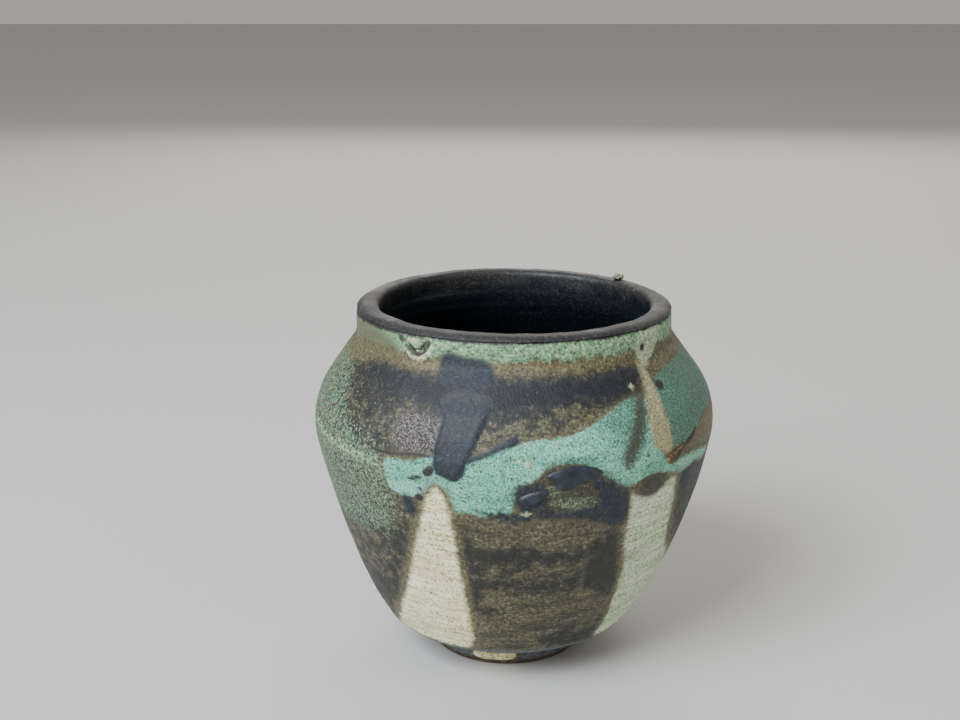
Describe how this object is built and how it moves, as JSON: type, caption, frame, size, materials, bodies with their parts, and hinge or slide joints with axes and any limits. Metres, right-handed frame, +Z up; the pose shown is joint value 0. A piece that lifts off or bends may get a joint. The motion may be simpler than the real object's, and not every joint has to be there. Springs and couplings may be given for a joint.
{
  "type": "vase",
  "caption": "Small round-shouldered stoneware vase with a wide mouth, upright collar and low foot ring, in poured dark, celadon, iron-brown and cream glazes.",
  "frame": {"origin": "centre of the foot ring's resting plane, on the pot's axis", "axes": "+Z up along the pot's axis; -Y faces the viewer in the picture, where the cream stripe and the dark run are; +X to that viewer's right"},
  "size_m": [0.12, 0.1209, 0.1083],
  "materials": {
    "stoneware_clay": "matte",
    "pale_glaze": "satin gloss",
    "dark_glaze": "satin gloss",
    "iron_glaze": "satin, speckled",
    "kiln_crumb": "matte"
  },
  "bodies": {
    "root": {"thrown_body": "stoneware_clay", "collar": "stoneware_clay", "foot_ring": "stoneware_clay", "inside_glaze": "dark_glaze", "outside_glaze": "pale_glaze", "shoulder_pour_1": "dark_glaze", "shoulder_pour_2": "dark_glaze", "iron_panel_1": "iron_glaze", "iron_panel_2": "iron_glaze", "iron_panel_3": "iron_glaze", "iron_panel_4": "iron_glaze", "iron_panel_5": "iron_glaze", "glaze_drop_long": "dark_glaze", "glaze_drop_left": "dark_glaze", "glaze_drop_brown": "iron_glaze", "glaze_drop_amber": "iron_glaze", "rim_crumb": "kiln_crumb"}
  },
  "joints": []
}
